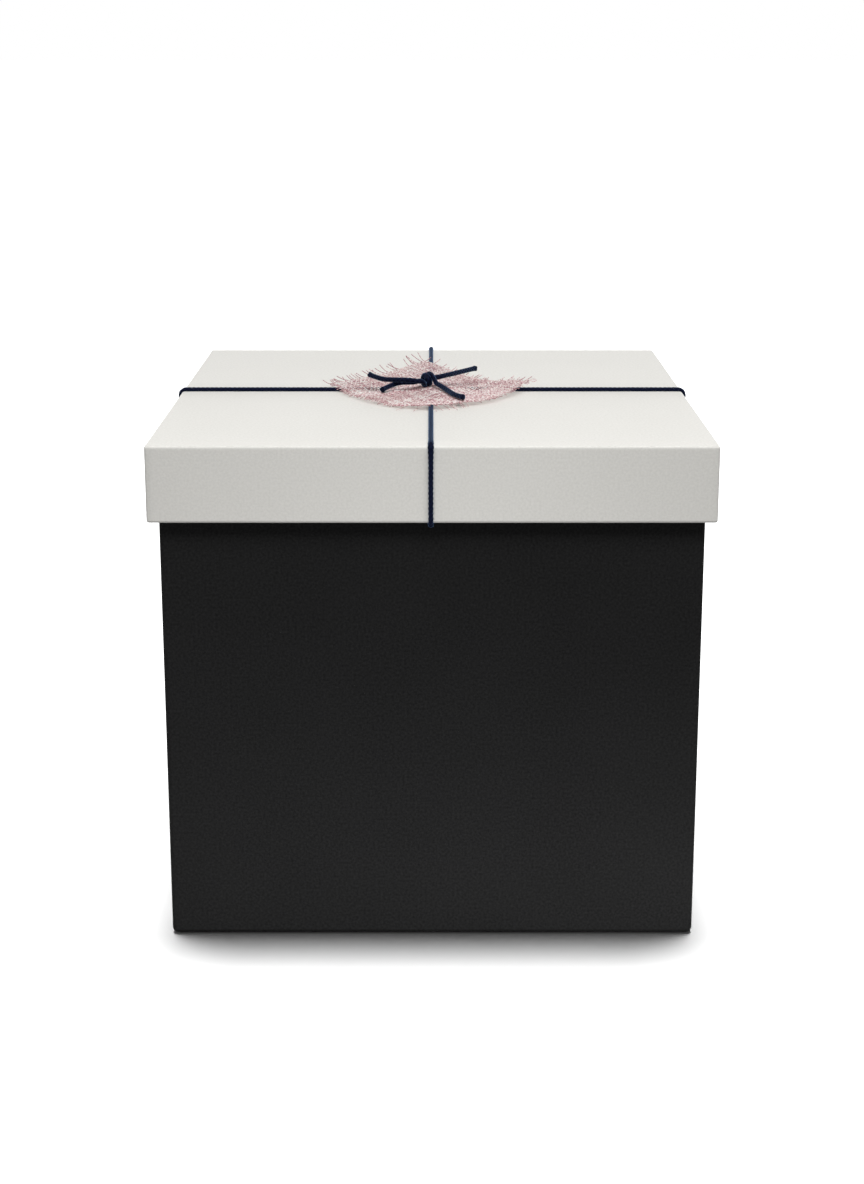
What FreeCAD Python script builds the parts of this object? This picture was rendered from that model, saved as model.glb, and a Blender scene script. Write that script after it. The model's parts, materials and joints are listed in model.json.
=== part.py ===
"""Gift box: a deep paper-covered board tray with a lift-off lid, corded and tied over a square of netting.

Millimetres, +Z up, origin at the middle of the underside, front towards -Y.
"""
import FreeCAD
import Part

import math
import os

from FreeCAD import Vector

# Tray and lid
BASE_WIDTH = 212.0
BASE_DEPTH = 212.0
BASE_HEIGHT = 202.5
LID_HEIGHT = 30.4
LID_CLEARANCE = 1.4

# Board, papers and tape
BOARD = 2.0
WRAP_PAPER = 0.3
LINER_PAPER = 0.2
STAY_TAPE = 0.12
BASE_FOLD_RADIUS = 1.9
LID_FOLD_RADIUS = 0.5
RIM_RADIUS = 0.8
BASE_TURN_IN = 24.0
LID_TURN_IN = 20.0
TURN_UNDER = 18.0
BOTTOM_SHEET_INSET = 3.0
LINER_LAP = 8.0
STAY_LEG = 16.0
STAY_END = 5.0

# Cord laid over the lid
CORD_DIAMETER = 2.0
CORD_SIDES = 8
CORD_SEAT = 0.02
CROSSING_GAP = 0.1
CROSSING_RAMP = 9.0
CROSSING_TOP = 5.0
PRESSED_THICKNESS = 0.7
PRESSED_WIDTH = 4.4
PRESSED_LENGTH = 12.0
RIM_SEAT = 0.1

# Netting
NET_SIDE = 62.0
NET_GAPS = 10
NET_THREAD = 0.9
NET_THICKNESS = 0.5
NET_FRINGE = 5.0
NET_SEAT = 0.02

# Tie: two cords, one wound round the other
KNOT_X = -1.6
KNOT_Y = -12.5
KNOT_TURN_DEG = 15.0
KNOT_TILT_DEG = 9.0
WIND_GAP = 0.16
WIND_PITCH = 2.6
WIND_START_DEG = -40.0
WIND_QUARTERS = 7
WIND_LEAD = 4.0
TIE_SEAT = 0.08
ARC_SHARE = 0.45
SAMPLE_STEP = 0.3

# Route of the tie's four loose ends, from the middle of the knot
CORE_REACH = 6.5
CORE_LEFT = [(-19.5, -9.0, -2.9), (-15.6, -2.8, -2.0), (-11.2, -0.6, -1.2)]
CORE_RIGHT = [(12.4, 8.6, 1.2), (21.2, 22.0, 0.9)]
WOUND_LEFT = [(-25.4, 6.0, 1.4), (-20.3, 1.0, 0.2), (-14.1, -3.4, 0.4), (-8.8, -6.4, 0.9)]
WOUND_RIGHT = [(8.7, -10.3, -2.9), (11.8, -19.0, -3.4), (15.2, -22.4, -3.5)]

# Tolerance for picking edges and overshoot of through cuts
TOUCH = 0.001
OVERCUT = 1.0

# Working values
WALL = BOARD + 2 * WRAP_PAPER
LID_WIDTH = BASE_WIDTH + 2 * (LID_CLEARANCE + WALL)
LID_DEPTH = BASE_DEPTH + 2 * (LID_CLEARANCE + WALL)
LID_TOP = BASE_HEIGHT + LINER_PAPER + BOARD + WRAP_PAPER
LID_RIM = LID_TOP - LID_HEIGHT
CORD_RADIUS = CORD_DIAMETER / 2
SIDES = {"front": (0, -1), "back": (0, 1), "left": (-1, 0), "right": (1, 0)}
CORNERS = {"front_left": (-1, -1), "front_right": (1, -1), "back_left": (-1, 1), "back_right": (1, 1)}


def prism(width, depth, low, high):
    """Upright block centred on the Z axis."""
    return Part.makeBox(width, depth, high - low, Vector(-width / 2, -depth / 2, low))


def ring(outer_width, outer_depth, thickness, low, high):
    """Four-sided sleeve with sharp corners."""
    outer = prism(outer_width, outer_depth, low, high)
    return outer.cut(prism(outer_width - 2 * thickness, outer_depth - 2 * thickness, low, high))


def rounded_block(width, depth, low, high, fold, rim):
    """Block with its upright and lower edges rounded to fold, and its upper edges to rim."""
    block = prism(width, depth, low, high)
    upper = [edge for edge in block.Edges if edge.BoundBox.ZMin > high - TOUCH]
    folded = [edge for edge in block.Edges if not any(edge.isSame(other) for other in upper)]
    block = block.makeFillet(fold, folded)
    rim_edges = [edge for edge in block.Edges if edge.BoundBox.ZMin > high - TOUCH]
    return block.makeFillet(rim, rim_edges)


def rounded_column(width, depth, low, high, radius):
    """Block with rounded upright edges only."""
    block = prism(width, depth, low, high)
    upright = [edge for edge in block.Edges if edge.BoundBox.ZLength > TOUCH]
    return block.makeFillet(radius, upright)


def tray(name, width, depth, height, fold, turn_in, turn_under=None):
    """Board walls and floor, corner tape and covering paper of an open tray that stands on z = 0."""
    board_width = width - 2 * WRAP_PAPER
    board_depth = depth - 2 * WRAP_PAPER
    inner_width = board_width - 2 * BOARD
    inner_depth = board_depth - 2 * BOARD
    board_top = height - WRAP_PAPER
    boards = rounded_block(board_width, board_depth, WRAP_PAPER, board_top, fold, RIM_RADIUS)

    pieces = {}
    for side, (x, y) in SIDES.items():
        span = board_width if y else inner_depth
        slab = Part.makeBox(span if y else BOARD, BOARD if y else span, height)
        middle = Vector(x * (inner_width + BOARD) / 2, y * (inner_depth + BOARD) / 2, height / 2)
        slab.translate(middle - slab.BoundBox.Center)
        pieces[f"{name}_{side}_board"] = boards.common(slab)
    floor_name = "top" if turn_under is None else "floor"
    pieces[f"{name}_{floor_name}_board"] = prism(inner_width, inner_depth, WRAP_PAPER, WRAP_PAPER + BOARD)

    stay_low = WRAP_PAPER + STAY_END
    stay_high = board_top - STAY_END
    taped = rounded_column(board_width + 2 * STAY_TAPE, board_depth + 2 * STAY_TAPE, stay_low, stay_high,
                           fold + STAY_TAPE)
    tape = taped.cut(rounded_column(board_width, board_depth, stay_low, stay_high, fold))
    wrap = rounded_block(width, depth, 0, height, fold + WRAP_PAPER, RIM_RADIUS + WRAP_PAPER)
    wrap = wrap.cut(boards)
    mouth_width = inner_width - 2 * WRAP_PAPER
    mouth_depth = inner_depth - 2 * WRAP_PAPER
    wrap = wrap.cut(prism(mouth_width, mouth_depth, board_top, height + OVERCUT))
    wrap = wrap.fuse(ring(inner_width, inner_depth, WRAP_PAPER, height - turn_in, board_top))
    if turn_under is not None:
        wrap = wrap.cut(prism(width - 2 * turn_under, depth - 2 * turn_under, -OVERCUT, WRAP_PAPER))
    for corner, (x, y) in CORNERS.items():
        reach = Part.makeBox(STAY_LEG, STAY_LEG, height)
        outer_corner = Vector(x * board_width / 2, y * board_depth / 2, height / 2)
        shift = Vector(x, y, 0) * (STAY_LEG / 2 - STAY_TAPE)
        reach.translate(outer_corner - shift - reach.BoundBox.Center)
        stay = tape.common(reach)
        pieces[f"{name}_corner_stay_{corner}"] = stay
        wrap = wrap.cut(stay)
    pieces[f"{name}_wrap"] = wrap.removeSplitter()
    return pieces


def base_pieces():
    """Black base with its pasted bottom sheet and inner lining."""
    sheet = prism(BASE_WIDTH - 2 * BOTTOM_SHEET_INSET, BASE_DEPTH - 2 * BOTTOM_SHEET_INSET, 0, WRAP_PAPER)
    stand = WRAP_PAPER
    height = BASE_HEIGHT - stand
    pieces = tray("base", BASE_WIDTH, BASE_DEPTH, height, BASE_FOLD_RADIUS, BASE_TURN_IN, TURN_UNDER)
    for shape in pieces.values():
        shape.translate(Vector(0, 0, stand))
    pieces["base_bottom_sheet"] = sheet

    inner_width = BASE_WIDTH - 2 * (WRAP_PAPER + BOARD)
    inner_depth = BASE_DEPTH - 2 * (WRAP_PAPER + BOARD)
    floor = stand + WRAP_PAPER + BOARD
    lining_low = floor + LINER_PAPER
    turn_in_edge = BASE_HEIGHT - BASE_TURN_IN
    pieces["base_floor_liner"] = prism(inner_width, inner_depth, floor, lining_low)
    lower = ring(inner_width, inner_depth, LINER_PAPER, lining_low, turn_in_edge)
    step = ring(inner_width, inner_depth, WRAP_PAPER + LINER_PAPER, turn_in_edge - LINER_PAPER, turn_in_edge)
    lap = ring(inner_width - 2 * WRAP_PAPER, inner_depth - 2 * WRAP_PAPER, LINER_PAPER, turn_in_edge,
               turn_in_edge + LINER_LAP)
    pieces["base_wall_liner"] = lower.fuse([step, lap]).removeSplitter()
    return pieces


def lid_pieces():
    """Off-white lid: a shallow tray turned over, with a lined top that rests on the base's rim."""
    pieces = tray("lid", LID_WIDTH, LID_DEPTH, LID_HEIGHT, LID_FOLD_RADIUS, LID_TURN_IN)
    for name, shape in pieces.items():
        turned = shape.mirror(Vector(0, 0, 0), Vector(0, 0, 1))
        turned.translate(Vector(0, 0, LID_TOP))
        pieces[name] = turned
    inner_width = LID_WIDTH - 2 * (WRAP_PAPER + BOARD)
    inner_depth = LID_DEPTH - 2 * (WRAP_PAPER + BOARD)
    pieces["lid_top_liner"] = prism(inner_width, inner_depth, BASE_HEIGHT, BASE_HEIGHT + LINER_PAPER)
    return pieces


def tangent_arc(start, corner, end):
    """Arc from start to end that is tangent there to the lines to corner."""
    middle = (start + end) / 2
    half_chord = (end - start).Length / 2
    rise = corner - middle
    quarter_turn = math.atan2(rise.Length, half_chord) / 2
    return Part.Arc(start, middle + rise.normalize() * half_chord * math.tan(quarter_turn), end).toShape()


def rounded_run(points, radius=None):
    """Straight runs with a tangent arc at each inner point, as large as its runs allow or as given."""
    edges = []
    start = points[0]
    for before, corner, after in zip(points, points[1:], points[2:]):
        arriving = (corner - before).normalize()
        leaving = (after - corner).normalize()
        half_turn = arriving.getAngle(leaving) / 2
        reach = ARC_SHARE * min((corner - before).Length, (after - corner).Length)
        if radius is not None:
            reach = min(reach, radius * math.tan(half_turn))
        print(f"  bend radius {reach / math.tan(half_turn):.1f} mm")
        begin = corner - arriving * reach
        end = corner + leaving * reach
        edges.append(Part.LineSegment(start, begin).toShape())
        edges.append(tangent_arc(begin, corner, end))
        start = end
    edges.append(Part.LineSegment(start, points[-1]).toShape())
    return edges


def biarc(start, start_way, end, end_way):
    """Two tangent arcs between two points, leaving and arriving along the given directions."""
    span = end - start
    ways = start_way + end_way
    spread = 2 * (1 - start_way.dot(end_way))
    along = span.dot(ways)
    reach = (math.sqrt(along * along + spread * span.dot(span)) - along) / spread
    first = start + start_way * reach
    last = end - end_way * reach
    joint = (first + last) / 2
    return [tangent_arc(start, first, joint), tangent_arc(joint, last, end)]


def cord_section(place, way, across, wide, thick):
    """Many-sided oval across the way, of the same area as the true oval with these half sizes."""
    up = way.cross(across)
    grow = math.sqrt(2 * math.pi / (CORD_SIDES * math.sin(2 * math.pi / CORD_SIDES)))
    angles = [(side + 0.5) * 2 * math.pi / CORD_SIDES for side in range(CORD_SIDES)]
    points = []
    for angle in angles:
        points.append(place + (across * wide * math.cos(angle) + up * thick * math.sin(angle)) * grow)
    return Part.makePolygon(points + points[:1])


def least_gap(edges):
    """Least free space between stretches of one cord that aren't next to each other along it."""
    path = Part.Wire(edges)
    count = round(path.Length / SAMPLE_STEP)
    points = path.discretize(count)
    apart = round(math.pi * CORD_DIAMETER / SAMPLE_STEP)
    return min((points[late] - points[early]).Length for early in range(count)
               for late in range(early + apart, count)) - CORD_DIAMETER


def tube(edges, across):
    """Cord along the edges, compared with its section times its length."""
    path = Part.Wire(edges)
    start = path.Edges[0].Vertexes[0].Point
    way = path.Edges[0].tangentAt(path.Edges[0].FirstParameter)
    across = (across - way * across.dot(way)).normalize()
    solid = path.makePipeShell([cord_section(start, way, across, CORD_RADIUS, CORD_RADIUS)], True, False)
    share = solid.Volume / (math.pi * CORD_RADIUS ** 2 * path.Length)
    print(f"cord {path.Length:.1f} mm long, volume over section times length {share:.4f}")
    return solid


def pressed_end(outer_face, side):
    """Cord under the lid's rim: round outside, pressed flat against the inside of the skirt."""
    corner = RIM_RADIUS + WRAP_PAPER
    flat = PRESSED_THICKNESS / 2
    half = math.sqrt(0.5)
    outer = corner + CORD_RADIUS + RIM_SEAT
    inner = flat + RIM_SEAT
    mid = (CORD_RADIUS + flat) / 2
    sections = [
        (Vector(CORD_RADIUS + CORD_SEAT, 0, corner), Vector(0, 0, -1), CORD_RADIUS),
        (Vector(outer * half - corner, 0, corner - outer * half), Vector(-half, 0, -half), CORD_RADIUS),
        (Vector(-corner, 0, -CORD_RADIUS - RIM_SEAT), Vector(-1, 0, 0), CORD_RADIUS),
        (Vector(-WALL + RIM_SEAT, 0, -mid - RIM_SEAT), Vector(-1, 0, 0), mid),
        (Vector(-WALL - inner * half, 0, -inner * half), Vector(-half, 0, half), flat),
        (Vector(-WALL - inner, 0, RIM_SEAT), Vector(0, 0, 1), flat),
        (Vector(-WALL - inner, 0, PRESSED_LENGTH), Vector(0, 0, 1), flat),
    ]
    wires = []
    for place, way, thick in sections:
        pressed = (CORD_RADIUS - thick) / (CORD_RADIUS - flat)
        wide = CORD_RADIUS + pressed * (PRESSED_WIDTH / 2 - CORD_RADIUS)
        centre = place + Vector(outer_face, 0, LID_RIM)
        wires.append(cord_section(centre, way, Vector(0, 1, 0), wide, thick))
    end = Part.makeLoft(wires, True, True)
    end.rotate(Vector(0, 0, 0), Vector(0, 0, 1), side)
    return end


def laid_cord(outer_face, hump, turn):
    """Cord over the lid from rim to rim along X, then turned about Z by turn degrees."""
    out = outer_face + CORD_RADIUS + CORD_SEAT
    low = LID_RIM + RIM_RADIUS + WRAP_PAPER
    top = LID_TOP + CORD_RADIUS + CORD_SEAT
    edge_radius = LID_FOLD_RADIUS + WRAP_PAPER + CORD_RADIUS + CORD_SEAT
    foot = CROSSING_TOP / 2 + CROSSING_RAMP
    flat = foot + CROSSING_RAMP
    right = rounded_run([Vector(out, 0, low), Vector(out, 0, top), Vector(flat, 0, top)], edge_radius)
    left = rounded_run([Vector(-flat, 0, top), Vector(-out, 0, top), Vector(-out, 0, low)], edge_radius)
    if hump:
        raised = top + CORD_DIAMETER + CROSSING_GAP
        over = [(flat, top), (foot, top), (CROSSING_TOP / 2, raised)]
        over += [(-x, z) for x, z in reversed(over)]
        middle = rounded_run([Vector(x, 0, z) for x, z in over])
    else:
        middle = [Part.LineSegment(Vector(flat, 0, top), Vector(-flat, 0, top)).toShape()]
    cord = tube(right + middle + left, Vector(0, 1, 0))
    cord = cord.fuse([pressed_end(outer_face, 0), pressed_end(outer_face, 180)])
    cord.rotate(Vector(0, 0, 0), Vector(0, 0, 1), turn)
    return cord


def net_height(y):
    """Underside of the netting, which leans on the front cord and on the crossing."""
    on_cord = LID_TOP + CORD_DIAMETER + CORD_SEAT + NET_SEAT
    on_crossing = on_cord + CORD_DIAMETER + CROSSING_GAP
    reach = (NET_SIDE + NET_THREAD) / math.sqrt(2)
    return on_crossing + (on_crossing - on_cord) * y / reach


def netting():
    """Square net with a frayed edge, set as a diamond and leaning forward on the cords."""
    half = NET_SIDE / 2
    pitch = NET_SIDE / NET_GAPS
    edge = half + NET_THREAD / 2
    outline = []
    for quarter in range(4):
        turn = FreeCAD.Rotation(Vector(0, 0, 1), 90 * quarter)
        for thread in range(NET_GAPS + 1):
            centre = thread * pitch - half
            first = centre - NET_THREAD / 2
            last = centre + NET_THREAD / 2
            frayed = -edge - NET_FRINGE
            for x, y in ((first, -edge), (first, frayed), (last, frayed), (last, -edge)):
                outline.append(turn.multVec(Vector(x, y, 0)))
    following = outline[1:] + outline[:1]
    clean = [point for point, after in zip(outline, following) if (point - after).Length > TOUCH]
    wires = [Part.makePolygon(clean + clean[:1])]
    gap = pitch - NET_THREAD
    for column in range(NET_GAPS):
        for row in range(NET_GAPS):
            x = column * pitch - half + NET_THREAD / 2
            y = row * pitch - half + NET_THREAD / 2
            wires.append(Part.makePlane(gap, gap, Vector(x, y, 0)).OuterWire)
    sheet = Part.makeFace(Part.makeCompound(wires), "Part::FaceMakerBullseye")
    net = sheet.extrude(Vector(0, 0, NET_THICKNESS))
    net.rotate(Vector(0, 0, 0), Vector(0, 0, 1), 45)
    lean = math.degrees(math.atan2(net_height(1) - net_height(0), 1))
    net.rotate(Vector(0, 0, 0), Vector(1, 0, 0), lean)
    net.translate(Vector(0, 0, net_height(0)))
    return net


def tie_cords():
    """Straight core cord and the cord wound round it, each with two cut ends lying over the netting."""
    wind_radius = CORD_DIAMETER + WIND_GAP
    net_top = net_height(KNOT_Y) + NET_THICKNESS
    wind_length = WIND_PITCH * WIND_QUARTERS / 4
    tilt_drop = wind_length / 2 * math.sin(math.radians(KNOT_TILT_DEG))
    knot = Vector(KNOT_X, KNOT_Y, net_top + wind_radius + CORD_RADIUS + tilt_drop + TIE_SEAT)
    tilt = FreeCAD.Rotation(Vector(0, 1, 0), -KNOT_TILT_DEG)
    knot_turn = FreeCAD.Rotation(Vector(0, 0, 1), KNOT_TURN_DEG).multiply(tilt)

    def wind_angle(quarter):
        return math.radians(WIND_START_DEG - 90 * quarter)

    def wind_point(quarter):
        angle = wind_angle(quarter)
        along = (quarter / WIND_QUARTERS - 0.5) * wind_length
        around = Vector(along, -math.cos(angle) * wind_radius, math.sin(angle) * wind_radius)
        return knot + knot_turn.multVec(around)

    def wind_way(quarter):
        angle = wind_angle(quarter)
        round_step = math.pi / 2 * wind_radius
        step = Vector(WIND_PITCH / 4, -math.sin(angle) * round_step, -math.cos(angle) * round_step)
        return knot_turn.multVec(step).normalize()

    core_reach = knot_turn.multVec(Vector(CORE_REACH, 0, 0))
    core_points = [knot + Vector(*point) for point in CORE_LEFT]
    core_points += [knot - core_reach, knot + core_reach]
    core_points += [knot + Vector(*point) for point in CORE_RIGHT]

    turns = []
    for quarter in range(WIND_QUARTERS):
        turns += biarc(wind_point(quarter), wind_way(quarter), wind_point(quarter + 1), wind_way(quarter + 1))
    left_tail = [knot + Vector(*point) for point in WOUND_LEFT]
    left_tail += [wind_point(0) - wind_way(0) * WIND_LEAD, wind_point(0)]
    right_tail = [wind_point(WIND_QUARTERS), wind_point(WIND_QUARTERS) + wind_way(WIND_QUARTERS) * WIND_LEAD]
    right_tail += [knot + Vector(*point) for point in WOUND_RIGHT]
    wound = rounded_run(left_tail) + turns + rounded_run(right_tail)
    print(f"wound cord's least gap to itself {least_gap(wound):.2f} mm")
    up = Vector(0, 0, 1)
    return {"tie_cord_core": tube(rounded_run(core_points), up), "tie_cord_wound": tube(wound, up)}


def main():
    pieces = base_pieces()
    pieces.update(lid_pieces())
    pieces["cord_front_to_back"] = laid_cord(LID_DEPTH / 2, False, 90)
    pieces["cord_left_to_right"] = laid_cord(LID_WIDTH / 2, True, 0)
    pieces["netting"] = netting()
    pieces.update(tie_cords())
    os.makedirs("parts", exist_ok=True)
    for name, shape in pieces.items():
        solids = shape.Solids
        print(f"{name}: {len(solids)} solid, {shape.Volume:.1f} mm3, valid {shape.isValid()}")
        solid = solids[0] if len(solids) == 1 else Part.makeCompound(solids)
        solid.exportStep(f"parts/{name}.step")


main()
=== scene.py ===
"""Looks of the gift box: paper-covered base and lid, laid cords, a knotted tie and a square of netting.

Metres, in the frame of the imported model: +Z up, origin under the middle of the box, front towards -Y.
"""

import json
import math
import random

import bpy
import numpy as np
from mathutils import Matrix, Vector, noise


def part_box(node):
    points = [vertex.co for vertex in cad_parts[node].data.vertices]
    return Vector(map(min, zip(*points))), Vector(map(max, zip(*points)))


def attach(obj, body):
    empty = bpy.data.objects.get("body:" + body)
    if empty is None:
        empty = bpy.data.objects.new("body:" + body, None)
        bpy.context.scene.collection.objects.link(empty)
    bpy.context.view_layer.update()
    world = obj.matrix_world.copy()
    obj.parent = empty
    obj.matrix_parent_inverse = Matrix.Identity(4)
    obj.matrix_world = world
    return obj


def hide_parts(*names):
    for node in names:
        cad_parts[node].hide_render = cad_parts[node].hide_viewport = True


MM = 0.001
SEED = 11

# Photograph's frame and the lens that its edges give
IMAGE_WIDTH = 864
IMAGE_HEIGHT = 1184
LENS_PIXELS = 1813.6
AXIS_PIXEL = (432.15, 449.75)
PITCH_DEG = 12.756
CAMERA_BEFORE_LID = 674.3 * MM
CAMERA_ABOVE_LID = 151.3 * MM
SENSOR = 36.0
CLIP_START = 0.01

# Cord: its size as in the part's source, its bend and crossing on the lid, its braid and its cut ends
CORD_DIAMETER = 2.0 * MM
CORD_RADIUS = CORD_DIAMETER / 2
CORD_SEAT = 0.02 * MM
EDGE_BEND = 1.7 * MM
FRONT_CORD_ASIDE = Vector((-0.5, 0.0, 0.0)) * MM
SIDE_CORD_ASIDE = Vector((0.0, 0.8, 0.0)) * MM
CROSSING_RISE = 2.1 * MM
CROSSING_RAMP = 9.0 * MM
CROSSING_TOP = 5.0 * MM
CROSSING_STEPS = 24
CORD_STEP = 0.17 * MM
CORD_SIDES = 24
BRAID_PITCH = 2.0 * MM
BRAID_STRANDS = 4
BRAID_DEPTH = 0.13
BRAID_LEVEL = 0.2
BRAID_OVERLAP = 0.3
END_FLARE = 0.3
END_FLARE_REACH = 0.9 * MM
END_BEVEL = 0.18
END_BEVEL_REACH = 0.12 * MM

# Laid cord: width and thickness against a round cord's, spread over the lid's edge, and pressed ends
LAID_WIDTH = 0.93
LAID_THICKNESS = 0.86
LAID_SPREAD = 0.2
LAID_SPREAD_AT = 46.5 * MM
LAID_SPREAD_REACH = 4.0 * MM
PRESS_START = 13.3 * MM
PRESS_RUN = 2.4 * MM
PRESS_WIDENS = 1.1
PRESS_THINS = 0.48

# Laid cord's end, from inside the skirt round the rim to the outer face: steps out and up in millimetres
WRAP_PAPER = 0.3 * MM
TUCK_GAP = 0.1 * MM
TUCK_INSET = 0.45 * MM
TUCK_INSIDE = [(0.0, 11.5), (0.0, 0.8)]
TUCK_BEND = [(0.2, 0.75)]
TUCK_UNDER = [(-1.6, 0.0), (-0.2, 0.25)]
TUCK_OUTSIDE = [(-0.12, 0.6), (0.0, 2.2)]

# Tie: the knot's place over the lid, its winding and its four ends, close to the part's source
KNOT = Vector((-2.0, -11.5, 7.65)) * MM
KNOT_TURN_DEG = 15.0
KNOT_RISE = 0.16
WIND_RADIUS = 2.15 * MM
WIND_PITCH = 2.45 * MM
WIND_LEAN = 0.2
WIND_WIDTH = 1.32
WIND_THICKNESS = 0.88
WIND_EASE = (3.4 * MM, 5.2 * MM)
WIND_START_DEG = -40.0
WIND_TURNS = 1.875
WIND_POINTS_PER_TURN = 16
ENTER_LEAD = 2.6 * MM
LEAVE_LEAD = 2.0 * MM
CORE_REACH = 6.5 * MM
CORE_LEFT = [(-19.5, -9.0, -2.9), (-15.6, -2.8, -2.0), (-11.2, -0.6, -1.2)]
CORE_RIGHT = [(12.4, 8.6, 1.2), (21.2, 22.0, 0.9)]
WOUND_LEFT = [(-25.4, 6.0, 1.0), (-20.3, 1.0, -0.2), (-14.1, -3.4, 0.4), (-8.8, -6.4, 0.9),
              (-4.2, -5.0, 0.15)]
WOUND_RIGHT = [(4.6, -3.6, -1.55), (8.7, -10.3, -2.9), (11.8, -19.0, -3.4), (15.2, -22.4, -3.5)]

# Netting: corners over the lid (front, right, back, left), how far its edges bow out and how they lie
NET_FRONT = Vector((-3.4, -42.5, 2.35)) * MM
NET_RIGHT = Vector((42.0, 0.7, 4.5)) * MM
NET_BACK = Vector((-3.4, 44.5, 5.9)) * MM
NET_LEFT = Vector((-44.8, 4.9, 2.6)) * MM
NET_BOW_FRONT_RIGHT = Vector((4.5, -6.5, -1.4)) * MM
NET_BOW_RIGHT_BACK = Vector((2.0, -1.8, -3.3)) * MM
NET_BOW_BACK_LEFT = Vector((1.3, -1.7, -0.5)) * MM
NET_BOW_LEFT_FRONT = Vector((-1.0, -9.0, -1.9)) * MM
NET_FRONT_POWER = 1.3
NET_BACK_POWER = 2.0
NET_OVER_CORD = 0.34 * MM
NET_LEAST = 0.45 * MM
NET_FALL = 0.3
NET_CROWN = 4.2 * MM
NET_CROWN_REACH = 3.5 * MM
NET_CROWN_FALL = 0.2
NET_TAIL_RISES = [(CORE_LEFT[0], 2.9 * MM), (WOUND_RIGHT[-1], 2.3 * MM)]
NET_BLEND = 0.22 * MM
NET_THREADS = 50
NET_STEPS = NET_THREADS * 2
NET_THREAD = 0.32 * MM
NET_WEAVE = 0.15 * MM
NET_WOBBLE = 0.1 * MM
NET_WOBBLE_SCALE = 900.0
NET_WOBBLE_SHIFT = 7.0
NET_SIDES = 6

# Frayed ends on each edge: shortest and longest, share of threads that show one, least and most rise
FRINGE = {
    "front_right": (0.8, 2.2, 0.8, -0.15, 0.05),
    "left_front": (0.8, 2.2, 0.8, -0.15, 0.05),
    "right_back": (1.2, 4.2, 0.55, 0.1, 0.4),
    "back_left": (4.8, 7.8, 0.6, 0.3, 0.6),
}
FRINGE_BITS = 9
FRINGE_THREAD = 0.3 * MM
FRINGE_TONE = (-0.6, 0.2)
FRINGE_SWAY = 0.3
FRINGE_RISE_POWER = 1.4
LONG_LOW_AT_LEFT = 0.1
FRINGE_LEAST = 0.3 * MM
HAIR_THREAD = 0.18 * MM
HAIR_SHARE = 0.35
HAIR_ODDS = 0.5
HAIR_LENGTH = (5.0, 11.0)
LOOP_PLACE = Vector((2.6, 0.3, 0.4)) * MM
LOOP_SIZE = Vector((1.2, 1.0, 0.35)) * MM
LOOP_STEPS = 24

# Lid's paper, as shading: fall of the top to its front edge, of the sides to corners and upper edges
FRONT_DROP = 1.7 * MM
FRONT_DROP_REACH = 10.0 * MM
FRONT_DROP_POWER = 1.2
CORNER_DROP = 0.4 * MM
CORNER_DROP_REACH = 3.5 * MM
SIDE_DROP = 0.25 * MM
SIDE_DROP_REACH = 1.6 * MM
SIDE_DROP_POWER = 2.0

# Materials: scales of their noises per metre, heights of their relief, and shares of one in another
PAPER_GRAIN_SCALE = 1000.0
PAPER_FELT_SCALE = 700.0
PAPER_CLOUD_SCALE = 28.0
PAPER_RUB_SCALE = 160.0
PAPER_GRAIN_RELIEF = 0.03 * MM
PAPER_FELT_RELIEF = 0.05 * MM
PAPER_FELT_SHARE = 0.6
PAPER_CLOUD_SHARE = 0.12
PAPER_ROUGH_RANGE = 0.06
FLECK_SCALE = 4.0
PULP_RELIEF = 0.04 * MM
CORD_FIBRE_SCALE = 5200.0
CORD_PATCH_SCALE = 420.0
CORD_FIBRE_RELIEF = 0.03 * MM
NET_FIBRE_SCALE = 5000.0
NET_SPECKLE_SCALE = 1250.0
NET_FIBRE_RELIEF = 0.02 * MM
NET_TONE_SHARE = 0.22

# Sockets of the colour mix node, whose names repeat
MIX_SHARE = 0
MIX_FIRST = 6
MIX_SECOND = 7
MIX_RESULT = 2

# Studio light: where each lamp stands or comes from, its spread or size, and its level
WORLD_LEVEL = 0.12
FLOOR_REACH = 30.0
FLOOR_BOUNCE = 0.1
FLOOR_SEEN = 1.0
TOP_LIGHT_FROM = (0.35, 0.45, 1.0)
TOP_LIGHT_SPREAD = 70.0
TOP_LIGHT_LEVEL = 0.06
FLOOR_LIGHT_SIDEWAYS = 0.07
FLOOR_LIGHT_BACK = 0.1
FLOOR_LIGHT_SPREAD = 14.0
FLOOR_LIGHT_LEVEL = 0.82
FRONT_LIGHT_AT = (0.1, -0.66, 1.4)
FRONT_LIGHT_SIZE = (1.4, 0.5)
FRONT_LIGHT_POWER = 20.0
LID_FILL_AT = (0.01, -0.25, 0.165)
LID_FILL_SIZE = (0.06, 0.04)
LID_FILL_POWER = 0.027
BACK_FILL_AT = (0.0, 0.65, 0.2)
BACK_FILL_SIZE = (0.6, 0.2)
BACK_FILL_POWER = 0.8
LOW_FILL_AT = (0.02, -0.215, 0.015)
LOW_FILL_SIZE = (0.4, 0.03)
LOW_FILL_POWER = 0.18


def lid_point(point):
    """A point given over the middle of the lid's top, in the frame."""
    return Vector((point[0], point[1], point[2] + LID_TOP))


def make_mesh(name, points, faces, material):
    """Smooth mesh object from points and faces."""
    mesh = bpy.data.meshes.new(name)
    mesh.from_pydata([tuple(point) for point in points], [], faces)
    mesh.update()
    mesh.polygons.foreach_set("use_smooth", [True] * len(mesh.polygons))
    mesh.materials.append(material)
    piece = bpy.data.objects.new(name, mesh)
    bpy.context.scene.collection.objects.link(piece)
    return piece


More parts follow.
